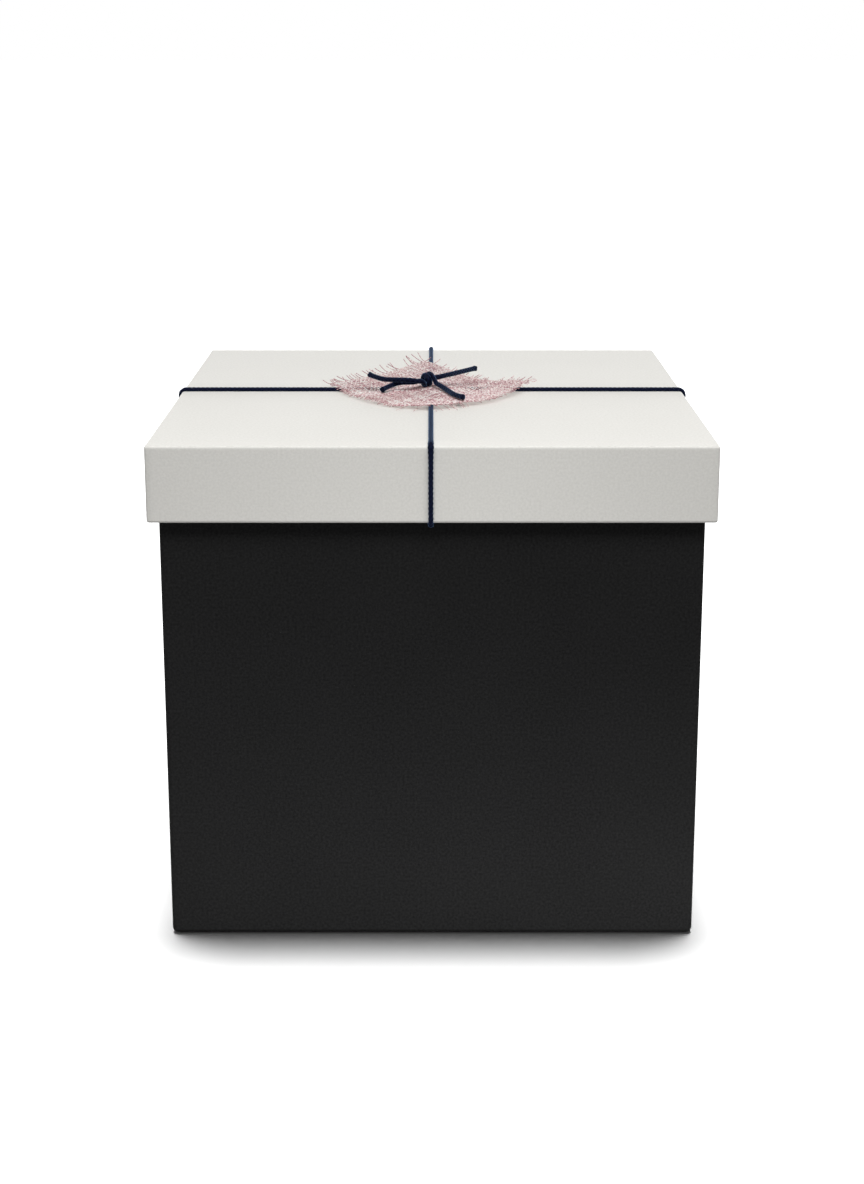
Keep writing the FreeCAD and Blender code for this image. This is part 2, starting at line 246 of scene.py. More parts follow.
class Nodes:
    """Short way to write a material's nodes."""

    def __init__(self, name):
        self.material = bpy.data.materials.new(name)
        self.material.use_nodes = True
        self.tree = self.material.node_tree
        self.shader = self.tree.nodes["Principled BSDF"]

    def add(self, kind, settings=None, **inputs):
        """New node with its settings and inputs."""
        node = self.tree.nodes.new(kind)
        for key, value in (settings or {}).items():
            setattr(node, key, value)
        for key, value in inputs.items():
            self.put(node, key.replace("_", " "), value)
        return node

    def put(self, node, socket, value):
        """Links or sets a node's input, by its name or its number."""
        if isinstance(value, bpy.types.NodeSocket):
            self.tree.links.new(value, node.inputs[socket])
        else:
            node.inputs[socket].default_value = value

    def place(self):
        """Place on the piece, in its own metres."""
        return self.add("ShaderNodeTexCoord").outputs["Object"]

    def noise(self, scale, detail, roughness):
        """Noise from 0 to 1."""
        node = self.add("ShaderNodeTexNoise", Scale=scale, Detail=detail, Roughness=roughness)
        self.put(node, "Vector", self.place())
        return node.outputs["Fac"]

    def span(self, value, low, high, to_low, to_high):
        """Number taken from one range to another."""
        node = self.add("ShaderNodeMapRange", {"clamp": True})
        for socket, amount in zip(("Value", "From Min", "From Max", "To Min", "To Max"),
                                  (value, low, high, to_low, to_high)):
            self.put(node, socket, amount)
        return node.outputs["Result"]

    def math(self, operation, first, second=0.0):
        """Result of one sum."""
        node = self.add("ShaderNodeMath", {"operation": operation})
        self.put(node, 0, first)
        self.put(node, 1, second)
        return node.outputs["Value"]

    def mix(self, share, first, second):
        """Colour between two."""
        node = self.add("ShaderNodeMix", {"data_type": "RGBA"})
        for index, value in ((MIX_SHARE, share), (MIX_FIRST, first), (MIX_SECOND, second)):
            self.put(node, index, value)
        return node.outputs[MIX_RESULT]

    def blend(self, first, second, share):
        """Number between two, with the share of the second."""
        kept = self.math("MULTIPLY", first, 1.0 - share)
        return self.math("ADD", kept, self.math("MULTIPLY", second, share))

    def bump(self, height, distance, strength=1.0, under=None):
        """Relief, on top of another."""
        node = self.add("ShaderNodeBump", Height=height, Distance=distance, Strength=strength)
        if under is not None:
            self.put(node, "Normal", under)
        return node.outputs["Normal"]

    def finish(self, **inputs):
        """Fills the shader and gives the material."""
        for key, value in inputs.items():
            self.put(self.shader, key.replace("_", " "), value)
        return self.material


def grey(value):
    """Neutral colour of one level."""
    return (value, value, value, 1.0)


def covering_paper(name, colour, shade, worn, grain, specular, rough, soft_edges=False):
    """Matt covering paper: fine pressed grain, faint clouding, slight rubbing and soft edges."""
    nodes = Nodes(name)
    fine = nodes.noise(PAPER_GRAIN_SCALE, detail=3.0, roughness=0.6)
    felt = nodes.noise(PAPER_FELT_SCALE, detail=2.0, roughness=0.55)
    cloud = nodes.noise(PAPER_CLOUD_SCALE, detail=3.0, roughness=0.5)
    rub = nodes.noise(PAPER_RUB_SCALE, detail=5.0, roughness=0.75)
    tone = nodes.blend(fine, cloud, PAPER_CLOUD_SHARE)
    base = nodes.mix(nodes.span(tone, 0.32, 0.68, 0.0, 1.0), shade, colour)
    rubbed = nodes.mix(nodes.span(rub, 0.66, 0.8, 0.0, 0.35), base, worn)
    low = nodes.bump(felt, PAPER_FELT_RELIEF, grain * PAPER_FELT_SHARE)
    high = nodes.bump(fine, PAPER_GRAIN_RELIEF, grain, low)
    if soft_edges:
        place = nodes.add("ShaderNodeSeparateXYZ", Vector=nodes.place()).outputs
        out = nodes.math("ABSOLUTE", place["X"]), nodes.math("ABSOLUTE", place["Y"])
        frontward = nodes.math("MULTIPLY", place["Y"], -1.0)
        cornerward = nodes.math("MINIMUM", *out)
        for way, far, reach, drop, power in (
                (frontward, LID_HALF, FRONT_DROP_REACH, FRONT_DROP, FRONT_DROP_POWER),
                (cornerward, LID_HALF, CORNER_DROP_REACH, CORNER_DROP, SIDE_DROP_POWER),
                (place["Z"], LID_TOP, SIDE_DROP_REACH, SIDE_DROP, SIDE_DROP_POWER)):
            near = nodes.span(way, far - reach, far, 0.0, 1.0)
            fall = nodes.math("MULTIPLY", nodes.math("POWER", near, power), -1.0)
            high = nodes.bump(fall, drop, 1.0, high)
    dull = nodes.span(felt, 0.3, 0.7, rough - PAPER_ROUGH_RANGE, rough + PAPER_ROUGH_RANGE)
    return nodes.finish(Base_Color=rubbed, Roughness=dull, Specular_IOR_Level=specular, Normal=high)


def board_paper(name, colour, shade, fleck, scale):
    """Raw board, tape or lining paper with pulp clouding and flecks."""
    nodes = Nodes(name)
    pulp = nodes.noise(scale, detail=5.0, roughness=0.65)
    flecks = nodes.noise(scale * FLECK_SCALE, detail=2.0, roughness=0.5)
    base = nodes.mix(nodes.span(pulp, 0.35, 0.65, 0.0, 1.0), shade, colour)
    flecked = nodes.mix(nodes.span(flecks, 0.68, 0.74, 0.0, 0.5), base, fleck)
    return nodes.finish(Base_Color=flecked, Roughness=nodes.span(pulp, 0.3, 0.7, 0.82, 0.95),
                        Specular_IOR_Level=0.2, Normal=nodes.bump(pulp, PULP_RELIEF, strength=0.5))


def cord_yarn(name):
    """Navy braided cord: painted shade in the braid's valleys, a painted highlight in patches on the
    strands' crowns, fine fibres and a slight waxed sheen.
    """
    nodes = Nodes(name)
    fibre = nodes.noise(CORD_FIBRE_SCALE, detail=3.0, roughness=0.6)
    patch = nodes.noise(CORD_PATCH_SCALE, detail=2.0, roughness=0.5)
    crown = nodes.add("ShaderNodeAttribute", {"attribute_name": "braid_crown"}).outputs["Fac"]
    braid_valley_shade = (0.0008, 0.0014, 0.0095, 1.0)
    mid = (0.0034, 0.0056, 0.024, 1.0)
    pale = (0.017, 0.031, 0.085, 1.0)
    # Painted shade: the valleys between the strands get a darker copy of the navy, standing in for the
    # shade that falls there.
    base = nodes.mix(nodes.span(crown, 0.1, 0.9, 0.0, 1.0), braid_valley_shade, mid)
    # Painted highlight: the strands' crowns get the pale colour in noise patches (worn holds this mask
    # here), standing in for light on them.
    high = nodes.span(crown, 0.75, 1.1, 0.0, 1.0)
    worn = nodes.math("MULTIPLY", high, nodes.span(patch, 0.35, 0.65, 0.3, 0.8))
    lit = nodes.mix(worn, base, pale)
    flecked = nodes.mix(nodes.span(fibre, 0.6, 0.75, 0.0, 0.4), lit, pale)
    return nodes.finish(Base_Color=flecked, Roughness=nodes.span(fibre, 0.3, 0.7, 0.5, 0.68),
                        Specular_IOR_Level=0.05, Sheen_Weight=0.65, Sheen_Roughness=0.35,
                        Sheen_Tint=(0.34, 0.58, 1.0, 1.0),
                        Normal=nodes.bump(fibre, CORD_FIBRE_RELIEF, strength=0.6))


def net_yarn(name):
    """Dusty pink yarn with paler and deeper rose stretches."""
    nodes = Nodes(name)
    tone = nodes.add("ShaderNodeAttribute", {"attribute_name": "thread_tone"}).outputs["Fac"]
    speckle = nodes.noise(NET_SPECKLE_SCALE, detail=1.0, roughness=0.4)
    shade = nodes.blend(speckle, tone, NET_TONE_SHARE)
    fibre = nodes.noise(NET_FIBRE_SCALE, detail=2.0, roughness=0.5)
    deep = (0.45, 0.215, 0.235, 1.0)
    mid = (0.80, 0.585, 0.59, 1.0)
    pale = (0.97, 0.93, 0.91, 1.0)
    base = nodes.mix(nodes.span(shade, 0.34, 0.48, 0.0, 1.0), deep, mid)
    light = nodes.mix(nodes.span(shade, 0.49, 0.6, 0.0, 1.0), base, pale)
    return nodes.finish(Base_Color=light, Roughness=0.8, Specular_IOR_Level=0.25,
                        Sheen_Weight=0.25, Sheen_Roughness=0.4,
                        Normal=nodes.bump(fibre, NET_FIBRE_RELIEF, strength=0.5))


def frames_along(points, first_side=None):
    """Steady pair of cross directions at each point of a path."""
    points = np.array([tuple(point) for point in points])
    ways = np.gradient(points, axis=0)
    ways /= np.linalg.norm(ways, axis=1)[:, None]
    side = np.cross(ways[0], (0.0, 0.0, 1.0)) if first_side is None else np.array(first_side)
    sides = []
    for way in ways:
        side = side - way * side.dot(way)
        side = side / np.linalg.norm(side)
        sides.append(side)
    sides = np.array(sides)
    return points, sides, np.cross(ways, sides)


def evenly_spaced(points, step):
    """The same path with points at even steps along it."""
    points = np.array([tuple(point) for point in points])
    runs = np.linalg.norm(np.diff(points, axis=0), axis=1)
    along = np.concatenate([[0.0], np.cumsum(runs)])
    count = max(2, round(along[-1] / step) + 1)
    wanted = np.linspace(0.0, along[-1], count)
    spaced = np.stack([np.interp(wanted, along, points[:, axis]) for axis in range(3)], axis=1)
    return spaced, along[-1]


def tube_faces(rings, sides):
    """Quads of a tube and its two end caps; each cap has a middle point after the rings."""
    faces = []
    for ring in range(rings - 1):
        for side in range(sides):
            after = (side + 1) % sides
            low = ring * sides
            high = low + sides
            faces.append((low + side, low + after, high + after, high + side))
    first = rings * sides
    last = (rings - 1) * sides
    for side in range(sides):
        after = (side + 1) % sides
        faces.append((after, side, first))
        faces.append((last + side, last + after, first + 1))
    return faces


def braided_tube(name, path, radius, material, flatten=None, first_side=None):
    """Round braided cord along a path, with its strands as relief and blunt cut ends."""
    path, length = evenly_spaced(path, CORD_STEP)
    points, sides, ups = frames_along(path, first_side)
    rings = len(points)
    along = np.linspace(0.0, length, rings)
    turn = np.linspace(0.0, 2 * math.pi, CORD_SIDES, endpoint=False)
    lean = 2 * math.pi * along[:, None] / BRAID_PITCH
    one_way = np.cos(BRAID_STRANDS * turn[None, :] + lean)
    other_way = np.cos(BRAID_STRANDS * turn[None, :] - lean)
    over = BRAID_OVERLAP * np.sin(BRAID_STRANDS * turn[None, :]) * np.sin(lean)
    relief = np.maximum(one_way + over, other_way - over)
    radii = radius * (1.0 + BRAID_DEPTH * (relief - BRAID_LEVEL))
    edge = np.minimum(along, length - along)
    flare = END_FLARE * np.exp(-edge / END_FLARE_REACH) - END_BEVEL * np.exp(-edge / END_BEVEL_REACH)
    radii *= (1.0 + flare)[:, None]
    wide = np.ones(rings)
    thick = np.ones(rings)
    if flatten is not None:
        wide, thick = flatten(points, along, length)
    across = np.cos(turn)[None, :, None] * sides[:, None, :] * (radii * wide[:, None])[:, :, None]
    upward = np.sin(turn)[None, :, None] * ups[:, None, :] * (radii * thick[:, None])[:, :, None]
    surface = (points[:, None, :] + across + upward).reshape(-1, 3)
    ends = np.stack([points[0], points[-1]])
    cord = make_mesh(name, np.concatenate([surface, ends]), tube_faces(rings, CORD_SIDES), material)
    # The braid's relief at each point, which the cord's material turns into painted shade in the valleys
    # and a painted highlight on the crowns.
    crown = cord.data.attributes.new("braid_crown", "FLOAT", "POINT")
    crown.data.foreach_set("value", np.concatenate([relief.ravel(), (0.0, 0.0)]).astype(np.float32))
    return cord


def corner_arc(corner, start_way, end_way, radius, count=9):
    """Points of a quarter bend that turns from start_way to end_way inside a corner."""
    centre = corner - start_way * radius + end_way * radius
    points = []
    for step in range(count):
        angle = math.pi / 2 * step / (count - 1)
        points.append(centre - end_way * radius * math.cos(angle) + start_way * radius * math.sin(angle))
    return points


def smooth_step(value):
    """Eased share from 0 to 1."""
    value = min(max(value, 0.0), 1.0)
    return value * value * (3.0 - 2.0 * value)


def crossing_height(along):
    """How far the upper laid cord is raised to pass over the lower one."""
    reach = CROSSING_TOP / 2 + CROSSING_RAMP
    return CROSSING_RISE * smooth_step((reach - abs(along)) / CROSSING_RAMP)


def laid_cord_path(half, hump, out, aside):
    """Path over the lid from rim to rim in a plane along out and Z, ending inside the skirt."""
    up = Vector((0.0, 0.0, 1.0))
    lift = CORD_RADIUS * LAID_THICKNESS + CORD_SEAT
    side = half + lift
    top = LID_TOP + lift
    under = LID_RIM - CORD_RADIUS - TUCK_GAP
    inside = half - SKIRT - TUCK_INSET
    tuck = []
    for across, height, steps in ((inside, LID_RIM, TUCK_INSIDE), (inside, under, TUCK_BEND),
                                  (half, under, TUCK_UNDER), (side, LID_RIM, TUCK_OUTSIDE)):
        tuck += [out * (across + shift * MM) + up * (height + rise * MM) for shift, rise in steps]
    bend = corner_arc(out * side + up * top, up, -out, EDGE_BEND + lift)
    half_path = tuck + bend
    reach = CROSSING_TOP / 2 + CROSSING_RAMP
    over = []
    for step in range(CROSSING_STEPS + 1):
        place = reach * (1 - 2 * step / CROSSING_STEPS)
        over.append(out * place + up * (top + (crossing_height(place) if hump else 0.0)))
    other_half = [Vector((-point.x, -point.y, point.z)) for point in reversed(half_path)]
    return [point + aside for point in half_path + over + other_half]


def laid_section(points, along, length):
    """Width and thickness of a laid cord: spread over the lid's edge, pressed flat inside."""
    edge = np.minimum(along, length - along)
    press = np.clip((PRESS_START - edge) / PRESS_RUN, 0.0, 1.0)
    spread = LAID_SPREAD * np.exp(-((edge - LAID_SPREAD_AT) / LAID_SPREAD_REACH) ** 2)
    return LAID_WIDTH + spread + PRESS_WIDENS * press, LAID_THICKNESS - PRESS_THINS * press


def route_points(name, controls, resolution=24):
    """Points of the smooth NURBS route through a cord's control points."""
    curve = bpy.data.curves.new(name, "CURVE")
    curve.dimensions = "3D"
    spline = curve.splines.new("NURBS")
    spline.points.add(len(controls) - 1)
    for point, control in zip(spline.points, controls):
        point.co = (*control, 1.0)
    spline.order_u = 3
    spline.use_endpoint_u = True
    spline.resolution_u = resolution
    holder = bpy.data.objects.new(name, curve)
    mesh = bpy.data.meshes.new_from_object(holder)
    points = [vertex.co.copy() for vertex in mesh.vertices]
    bpy.data.objects.remove(holder)
    bpy.data.meshes.remove(mesh)
    bpy.data.curves.remove(curve)
    return points


def from_knot(point):
    """A point given in millimetres from the middle of the knot, in the frame."""
    return lid_point(KNOT + Vector(point) * MM)


def knot_turned(along, forward, up):
    """A place in the knot's own turned axes."""
    turn = math.radians(KNOT_TURN_DEG)
    x = along * math.cos(turn) + forward * math.sin(turn)
    y = along * math.sin(turn) - forward * math.cos(turn)
    return lid_point(KNOT + Vector((x, y, up + KNOT_RISE * along)))


def core_route():
    """Control points of the cord that runs straight through the knot."""
    points = [from_knot(point) for point in CORE_LEFT]
    points += [knot_turned(-CORE_REACH, 0.0, 0.0), knot_turned(-CORE_REACH / 2, 0.0, 0.0)]
    points += [knot_turned(CORE_REACH / 2, 0.0, 0.0), knot_turned(CORE_REACH, 0.0, 0.0)]
    return points + [from_knot(point) for point in CORE_RIGHT]


def wind_point(turns, grow=1.0):
    """A place on the winding, after so many turns."""
    angle = math.radians(WIND_START_DEG) - 2 * math.pi * turns
    radius = WIND_RADIUS * grow
    up = math.sin(angle) * radius
    along = (turns - WIND_TURNS / 2) * WIND_PITCH - WIND_LEAN * up
    return knot_turned(along, math.cos(angle) * radius, up)


def wound_route():
    """Control points of the cord that is wound round the other."""
    swell = 1.0 / math.cos(math.pi / WIND_POINTS_PER_TURN)
    count = round(WIND_TURNS * WIND_POINTS_PER_TURN)
    turns = [wind_point(step / WIND_POINTS_PER_TURN, swell) for step in range(count + 1)]
    enter = turns[0] + (turns[0] - turns[1]).normalized() * ENTER_LEAD
    leave = turns[-1] + (turns[-1] - turns[-2]).normalized() * LEAVE_LEAD
    left = [from_knot(point) for point in WOUND_LEFT]
    right = [from_knot(point) for point in WOUND_RIGHT]
    return left + [enter] + turns + [leave] + right


def wound_section(points, along, length):
    """Width and thickness of the wound cord: drawn flat where it is wound tight."""
    away = np.linalg.norm(points - np.array(lid_point(KNOT)), axis=1)
    near, far = WIND_EASE
    tight = np.clip((far - away) / (far - near), 0.0, 1.0)
    return 1.0 + (WIND_WIDTH - 1.0) * tight, 1.0 - (1.0 - WIND_THICKNESS) * tight


def wound_first_side(path):
    """Cross direction at the wound cord's start that lies along the knot where the cord is wound."""
    away = np.linalg.norm(path - np.array(lid_point(KNOT)), axis=1)
    middle = int(np.median(np.flatnonzero(away < WIND_EASE[0])))
    axis = knot_turned(1.0, 0.0, 0.0) - knot_turned(0.0, 0.0, 0.0)
    return frames_along(path[middle::-1], axis)[1][-1]


def tie_cord(name, node, controls, material, wound):
    """One of the tie's two cords along its control points, in place of its solid."""
    route = route_points(name, controls)
    path, length = evenly_spaced(route, CORD_STEP)
    if wound:
        piece = braided_tube(name, path, CORD_RADIUS, material, wound_section, wound_first_side(path))
    else:
        piece = braided_tube(name, path, CORD_RADIUS, material)
    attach(piece, "lid")
    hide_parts(node)


def edge_point(start, end, bow, share, power):
    """Place along an edge that bows out between its ends, more pointed for a higher power."""
    return start.lerp(end, share) + bow * (4.0 * share * (1.0 - share)) ** power


def ridge_height(place, end, end_height):
    """Height that the netting keeps from the knot out to an end, falling off to the sides."""
    start = Vector((KNOT.x, KNOT.y))
    run = end - start
    share = min(max((place - start).dot(run) / run.length_squared, 0.0), 1.0)
    away = (place - start - run * share).length
    fall = NET_CROWN_FALL * max(0.0, away - NET_CROWN_REACH)
    return NET_CROWN + (end_height - NET_CROWN) * share - fall


def net_supports(x, y):
    """Heights at which the two laid cords and the knotted middle hold the netting up."""
    place = Vector((x, y))
    cord_top = CORD_SEAT + CORD_DIAMETER + NET_OVER_CORD
    over_front_cord = cord_top - NET_FALL * abs(x)
    over_side_cord = cord_top + crossing_height(x) - NET_FALL * abs(y)
    ridges = [ridge_height(place, Vector((0.0, 0.0)), NET_CROWN)]
    for tail, height in NET_TAIL_RISES:
        end = Vector((KNOT.x + tail[0] * MM, KNOT.y + tail[1] * MM))
        ridges.append(ridge_height(place, end, height))
    return over_front_cord, over_side_cord, max(ridges)


def net_place(p, q):
    """Place on the netting at shares p (front corner to right) and q (front corner to left)."""
    front = edge_point(NET_FRONT, NET_RIGHT, NET_BOW_FRONT_RIGHT, p, NET_FRONT_POWER)
    back = edge_point(NET_LEFT, NET_BACK, NET_BOW_BACK_LEFT, p, NET_BACK_POWER)
    left = edge_point(NET_FRONT, NET_LEFT, NET_BOW_LEFT_FRONT, q, NET_FRONT_POWER)
    right = edge_point(NET_RIGHT, NET_BACK, NET_BOW_RIGHT_BACK, q, NET_BACK_POWER)
    corners = NET_FRONT.lerp(NET_RIGHT, p).lerp(NET_LEFT.lerp(NET_BACK, p), q)
    place = front.lerp(back, q) + left.lerp(right, p) - corners
    heights = [place.z, NET_LEAST, *net_supports(place.x, place.y)]
    place.z = NET_BLEND * math.log(sum(math.exp(height / NET_BLEND) for height in heights))
    return place


def net_thread_points(index, along_p):
    """Points along one thread of the netting, passing over and under the threads that cross it."""
    share = (index + 0.5) / NET_THREADS
    points = []
    for step in range(NET_STEPS + 1):
        way = step / NET_STEPS
        p, q = (way, share) if along_p else (share, way)
        place = net_place(p, q)
        crossing = math.sin(math.pi * (way * NET_THREADS) + math.pi * (index + along_p))
        shift = Vector((0.0, 0.0, NET_WOBBLE_SHIFT * along_p))
        wobble = noise.noise_vector(place * NET_WOBBLE_SCALE + shift)
        lift = NET_WEAVE * crossing
        points.append(lid_point(place + wobble * NET_WOBBLE + Vector((0.0, 0.0, lift))))
    return points


def thread_tube(points, radius, tone, verts, faces, tones):
    """Adds a closed thin thread along the points, of one tone, to a shared mesh."""
    points, across, ups = frames_along(points)
    rings = len(points)
    turn = np.linspace(0.0, 2 * math.pi, NET_SIDES, endpoint=False)
    ring = np.cos(turn)[None, :, None] * across[:, None, :]
    ring = ring + np.sin(turn)[None, :, None] * ups[:, None, :]
    surface = (points[:, None, :] + ring * radius).reshape(-1, 3)
    start = sum(len(block) for block in verts)
    verts.append(surface)
    verts.append(np.stack([points[0], points[-1]]))
    faces.extend(tuple(corner + start for corner in face) for face in tube_faces(rings, NET_SIDES))
    tones.extend([tone] * (rings * NET_SIDES + 2))


def thread_mesh(name, verts, faces, tones, material):
    """Mesh of many threads with the tone of each."""
    threads = make_mesh(name, np.concatenate(verts), faces, material)
    threads.data.attributes.new("thread_tone", "FLOAT", "POINT").data.foreach_set("value", tones)
    return threads


def make_netting(material):
    """Threads both ways, each passing over and under the others."""
    draw = random.Random(SEED)
    noise.seed_set(SEED)
    verts = []
    faces = []
    tones = []
    for along_p in (True, False):
        for index in range(NET_THREADS):
            points = net_thread_points(index, along_p)
            thread_tube(points, NET_THREAD / 2, draw.random(), verts, faces, tones)
    return thread_mesh("netting_weave", verts, faces, tones, material)


def fringe_thread(tip, end, lift):
    """Points of one frayed end from the netting's edge, rising late and never into the lid."""
    points = []
    for bit in range(FRINGE_BITS):
        run = bit / (FRINGE_BITS - 1)
        place = tip.lerp(end, run)
        late_rise = lift * (run ** FRINGE_RISE_POWER - run)
        place.z = max(tip.z + (end.z - tip.z) * run + late_rise, FRINGE_LEAST)
        points.append(lid_point(place))
    return points


def edge_thread(edge, share):
    """Where a thread meets an edge of the netting, and its way out there."""
    along_p = edge in ("right_back", "left_front")
    far = edge in ("right_back", "back_left")
    step = 1.0 / NET_STEPS
    end = 1.0 if far else 0.0
    inner = 1.0 - step if far else step
    tip = net_place(end, share) if along_p else net_place(share, end)
    root = net_place(inner, share) if along_p else net_place(share, inner)
    return tip, (tip - root).normalized()


def make_fringe(material):
    """Frayed ends: short in front, hairs at the front corner, long along the back left, and a loop."""
    draw = random.Random(SEED)
    verts = []
    faces = []
    tones = []
    for edge, (shortest, longest, share_kept, least_rise, most_rise) in FRINGE.items():
        long = edge == "back_left"
        for index in range(NET_THREADS):
            share = (index + 0.5) / NET_THREADS
            tip, way = edge_thread(edge, share)
            if long:
                way = Vector((way.x, way.y, 0.0)).normalized()
            side = way.cross(Vector((0.0, 0.0, 1.0)))
            kept = draw.random() < share_kept
            length = draw.uniform(shortest, longest) * MM
            lift = length * draw.uniform(least_rise, most_rise)
            sway = length * draw.uniform(-FRINGE_SWAY, FRINGE_SWAY)
            end = tip + way * length + side * sway
            end.z += lift * (LONG_LOW_AT_LEFT + (1.0 - LONG_LOW_AT_LEFT) * share) if long else lift
            if kept:
                tone = draw.uniform(*FRINGE_TONE)
                thread_tube(fringe_thread(tip, end, lift), FRINGE_THREAD / 2, tone, verts, faces, tones)
            hair = edge in ("front_right", "left_front") and share < HAIR_SHARE
            if hair and draw.random() < HAIR_ODDS:
                fading = 1.0 - share / HAIR_SHARE
                end = tip + way * draw.uniform(*HAIR_LENGTH) * MM * fading + side * sway
                end.z = FRINGE_LEAST
                thread_tube(fringe_thread(tip, end, 0.0), HAIR_THREAD / 2, 0.0, verts, faces, tones)
    loop = []
    for step in range(LOOP_STEPS + 1):
        angle = 2 * math.pi * step / LOOP_STEPS
        back = math.sin(angle)
        turn = Vector((-math.cos(angle) * LOOP_SIZE.x, back * LOOP_SIZE.y, back * LOOP_SIZE.z))
        loop.append(lid_point(NET_RIGHT + LOOP_PLACE + turn))
    corner = lid_point(NET_RIGHT)
    halfway = corner.lerp(loop[0], 0.5)
    thread_tube([corner, halfway] + loop, FRINGE_THREAD / 2, FRINGE_TONE[1], verts, faces, tones)
    return thread_mesh("netting_fringe", verts, faces, tones, material)


def add_camera():
    """Camera that sees the box as the photograph does."""
    data = bpy.data.cameras.new("camera")
    data.sensor_fit = "VERTICAL"
    data.sensor_height = SENSOR
    data.lens = LENS_PIXELS / IMAGE_HEIGHT * SENSOR
    data.shift_x = (IMAGE_WIDTH / 2 - AXIS_PIXEL[0]) / IMAGE_HEIGHT
    data.shift_y = (AXIS_PIXEL[1] - IMAGE_HEIGHT / 2) / IMAGE_HEIGHT
    data.clip_start = CLIP_START
    camera = bpy.data.objects.new("camera", data)
    camera.location = (0.0, -LID_HALF - CAMERA_BEFORE_LID, LID_TOP + CAMERA_ABOVE_LID)
    camera.rotation_euler = (math.radians(90.0 - PITCH_DEG), 0.0, 0.0)
    bpy.context.scene.collection.objects.link(camera)
    bpy.context.scene.camera = camera


def add_sun(name, come_from, spread_deg, level, lit):
    """Soft distant lamp; level is what a face square to it receives, 1 being plain white."""
    data = bpy.data.lights.new(name, "SUN")
    data.angle = math.radians(spread_deg)
    data.energy = level * math.pi
    lamp = bpy.data.objects.new(name, data)
    lamp.rotation_euler = Vector(come_from).to_track_quat("Z", "Y").to_euler()
    bpy.context.scene.collection.objects.link(lamp)
    lamp.light_linking.receiver_collection = lit


def seen_directly(tree):
    """1 for camera, glossy and transmission rays, else 0."""
    path = tree.nodes.new("ShaderNodeLightPath")
    value = path.outputs["Is Camera Ray"]
    for kind in ("Is Glossy Ray", "Is Transmission Ray"):
        most = tree.nodes.new("ShaderNodeMath")
        most.operation = "MAXIMUM"
        tree.links.new(value, most.inputs[0])
        tree.links.new(path.outputs[kind], most.inputs[1])
        value = most.outputs["Value"]
    return value


def add_world(strength):
    """Even light from all round, white where it is seen."""
    world = bpy.data.worlds.new("studio")
    world.use_nodes = True
    bpy.context.scene.world = world
    tree = world.node_tree
    background = tree.nodes["Background"]
    background.inputs["Color"].default_value = grey(1.0)
    level = tree.nodes.new("ShaderNodeMapRange")
    level.inputs["To Min"].default_value = strength
    level.inputs["To Max"].default_value = 1.0
    tree.links.new(seen_directly(tree), level.inputs["Value"])
    tree.links.new(level.outputs["Result"], background.inputs["Strength"])


def add_floor(bounce, seen):
    """Pale floor; it is shown bright enough to meet the white background and keeps the box's shadow."""
    nodes = Nodes("floor_paper")
    colour = nodes.mix(seen_directly(nodes.tree), grey(bounce), grey(seen))
    nodes.finish(Base_Color=colour, Roughness=0.9, Specular_IOR_Level=0.0)
    corners = [(x * FLOOR_REACH, y * FLOOR_REACH, 0) for x, y in ((-1, -1), (1, -1), (1, 1), (-1, 1))]
    floor = make_mesh("floor", corners, [(0, 1, 2, 3)], nodes.material)
    return floor


def group_of(name, pieces):
    """A group of objects for a lamp to light."""
    group = bpy.data.collections.new(name)
    for piece in pieces:
        group.objects.link(piece)
    return group


def add_panel(name, place, target, size, power, lit):
    """Soft panel lamp that isn't seen itself."""
    data = bpy.data.lights.new(name, "AREA")
    data.shape = "RECTANGLE"
    data.size, data.size_y = size
    data.energy = power
    lamp = bpy.data.objects.new(name, data)
    lamp.location = place
    lamp.rotation_euler = (Vector(place) - Vector(target)).to_track_quat("Z", "Y").to_euler()
    lamp.visible_camera = False
    lamp.light_linking.receiver_collection = lit
    bpy.context.scene.collection.objects.link(lamp)


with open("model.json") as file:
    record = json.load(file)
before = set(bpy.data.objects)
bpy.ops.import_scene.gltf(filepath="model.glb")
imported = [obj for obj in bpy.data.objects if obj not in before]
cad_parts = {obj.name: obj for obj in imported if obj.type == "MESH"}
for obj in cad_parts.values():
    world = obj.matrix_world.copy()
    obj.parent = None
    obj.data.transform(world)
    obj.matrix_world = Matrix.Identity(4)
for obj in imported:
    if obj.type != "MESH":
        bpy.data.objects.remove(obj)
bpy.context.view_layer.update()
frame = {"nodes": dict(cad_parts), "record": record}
LID_LOW, LID_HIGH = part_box("lid_wrap")
LID_TOP = LID_HIGH[2]
LID_RIM = LID_LOW[2]
LID_HALF = LID_HIGH[0]
SKIRT = LID_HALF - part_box("lid_top_liner")[1][0] + WRAP_PAPER

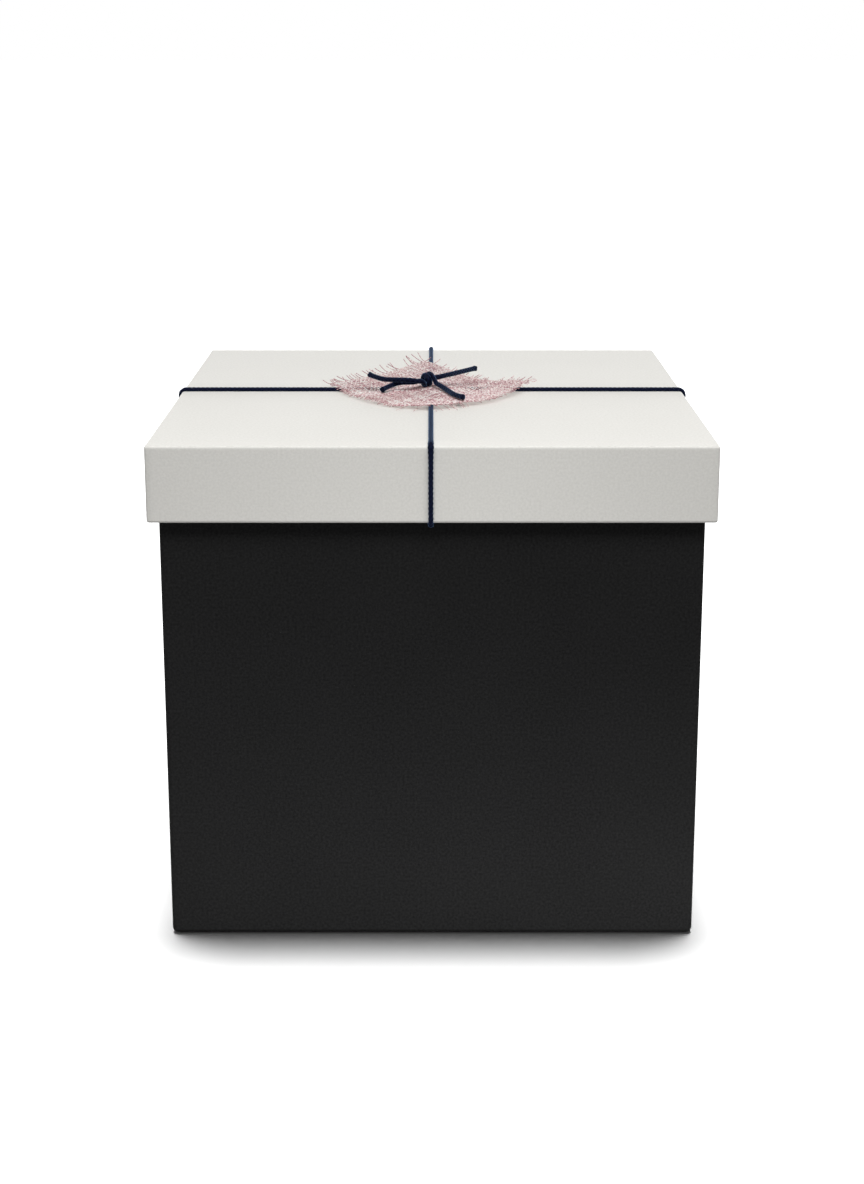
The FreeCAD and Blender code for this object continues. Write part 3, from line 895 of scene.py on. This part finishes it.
materials = {
    "black_paper": covering_paper("black_paper", colour=(0.0238, 0.0238, 0.0241, 1.0),
                                  shade=(0.0115, 0.0115, 0.0117, 1.0), worn=(0.031, 0.031, 0.0315, 1.0),
                                  grain=0.9, specular=0.015, rough=0.62),
    "ivory_paper": covering_paper("ivory_paper", colour=(0.815, 0.803, 0.765, 1.0),
                                  shade=(0.73, 0.718, 0.68, 1.0), worn=(0.73, 0.715, 0.675, 1.0),
                                  grain=0.5, specular=0.3, rough=0.58, soft_edges=True),
    "greyboard": board_paper("greyboard", colour=(0.42, 0.39, 0.35, 1.0), shade=(0.33, 0.31, 0.28, 1.0),
                             fleck=(0.16, 0.15, 0.14, 1.0), scale=300.0),
    "stay_tape": board_paper("stay_tape", colour=(0.62, 0.50, 0.34, 1.0), shade=(0.54, 0.43, 0.29, 1.0),
                             fleck=(0.36, 0.27, 0.17, 1.0), scale=500.0),
    "lining_paper": board_paper("lining_paper", colour=(0.80, 0.79, 0.76, 1.0),
                                shade=(0.75, 0.74, 0.71, 1.0), fleck=(0.66, 0.64, 0.60, 1.0),
                                scale=600.0),
    "navy_cord": cord_yarn("navy_cord"),
    "pink_net": net_yarn("pink_net"),
}
for entry in frame["record"]["subparts"]:
    mesh = frame["nodes"][entry["node"]].data
    mesh.materials.clear()
    mesh.materials.append(materials[entry["material_slot"]])

for name, node, hump, out, aside in (
        ("cord_across_front", "cord_front_to_back", False, Vector((0.0, -1.0, 0.0)), FRONT_CORD_ASIDE),
        ("cord_across_side", "cord_left_to_right", True, Vector((-1.0, 0.0, 0.0)), SIDE_CORD_ASIDE)):
    route = laid_cord_path(LID_HALF, hump, out, aside)
    across = out.cross(Vector((0.0, 0.0, 1.0)))
    cord = braided_tube(name, route, CORD_RADIUS, materials["navy_cord"], laid_section, across)
    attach(cord, "lid")
    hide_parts(node)

tie_cord("tie_core", "tie_cord_core", core_route(), materials["navy_cord"], False)
tie_cord("tie_wound", "tie_cord_wound", wound_route(), materials["navy_cord"], True)

netting = make_netting(materials["pink_net"])
fringe = make_fringe(materials["pink_net"])
for piece in (netting, fringe):
    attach(piece, "lid")
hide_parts("netting")

bpy.context.scene.view_settings.view_transform = "Standard"
add_camera()
add_world(WORLD_LEVEL)
floor = add_floor(FLOOR_BOUNCE, FLOOR_SEEN)
box_pieces = [piece for piece in bpy.data.objects if piece.type == "MESH" and piece != floor]
box_group = group_of("box_pieces", box_pieces)
lid_group = group_of("lid_front", [frame["nodes"]["lid_wrap"]])
floor_group = group_of("floor_only", [floor])
add_sun("top_light", TOP_LIGHT_FROM, TOP_LIGHT_SPREAD, TOP_LIGHT_LEVEL, box_group)
for side, sideways in (("left", -FLOOR_LIGHT_SIDEWAYS), ("right", FLOOR_LIGHT_SIDEWAYS)):
    come_from = (sideways, FLOOR_LIGHT_BACK, 1.0)
    add_sun(f"floor_light_{side}", come_from, FLOOR_LIGHT_SPREAD, FLOOR_LIGHT_LEVEL, floor_group)
lid_middle = (0.0, 0.0, LID_TOP)
front_rim = (0.0, -LID_HALF, LID_RIM)
back_middle = (0.0, LID_HALF, LID_TOP / 2)
front_foot = (0.0, -LID_HALF, 0.0)
add_panel("front_light", FRONT_LIGHT_AT, lid_middle, FRONT_LIGHT_SIZE, FRONT_LIGHT_POWER, box_group)
add_panel("lid_fill", LID_FILL_AT, front_rim, LID_FILL_SIZE, LID_FILL_POWER, lid_group)
add_panel("back_fill", BACK_FILL_AT, back_middle, BACK_FILL_SIZE, BACK_FILL_POWER, box_group)
add_panel("low_fill", LOW_FILL_AT, front_foot, LOW_FILL_SIZE, LOW_FILL_POWER, box_group)
